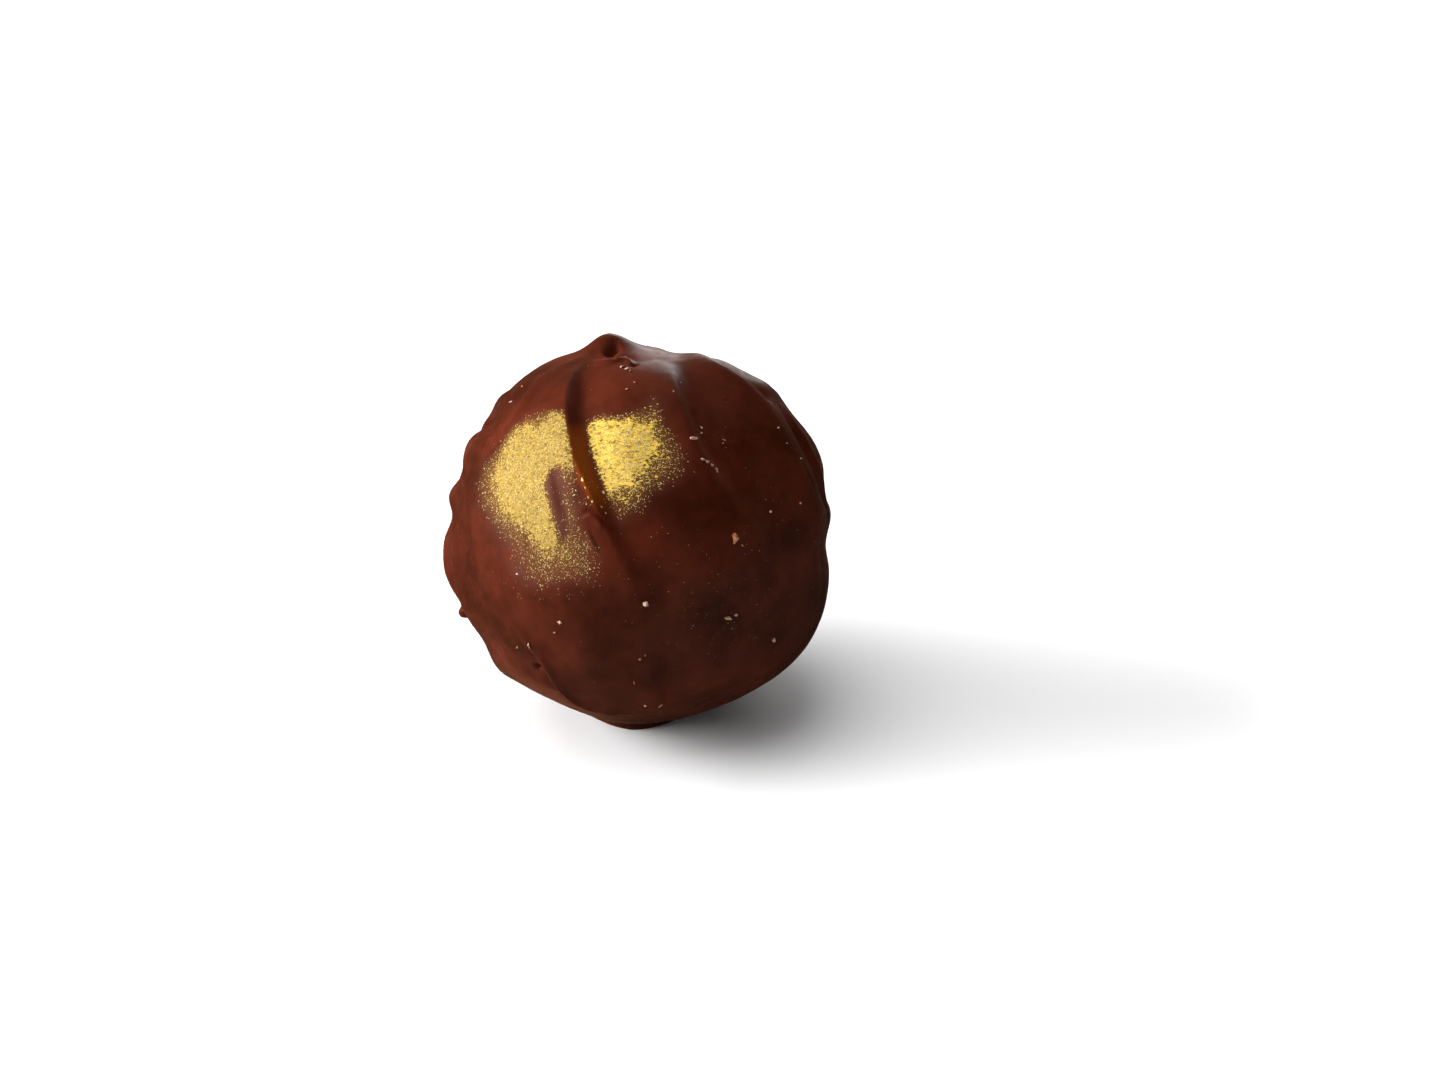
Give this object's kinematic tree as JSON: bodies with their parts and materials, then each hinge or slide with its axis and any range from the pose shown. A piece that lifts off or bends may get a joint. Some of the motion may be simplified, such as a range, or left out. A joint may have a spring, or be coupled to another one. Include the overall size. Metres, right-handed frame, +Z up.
{
  "type": "hazelnut truffle",
  "caption": "Round chocolate truffle with hand-dipped folds, a small curl on top, a brushed patch of gold dust and a small flat foot.",
  "frame": {"origin": "middle of the flat underside of the foot, where the truffle stands", "axes": "+Z up, from the foot to the curl; the front with the gold dust faces -Y; +X is to its right as seen from the front"},
  "size_m": [0.0302, 0.0297, 0.0296],
  "materials": {
    "chocolate": "satin dark milk chocolate with a brushed patch of gold lustre dust"
  },
  "bodies": {
    "root": {"truffle": "chocolate"}
  },
  "joints": []
}
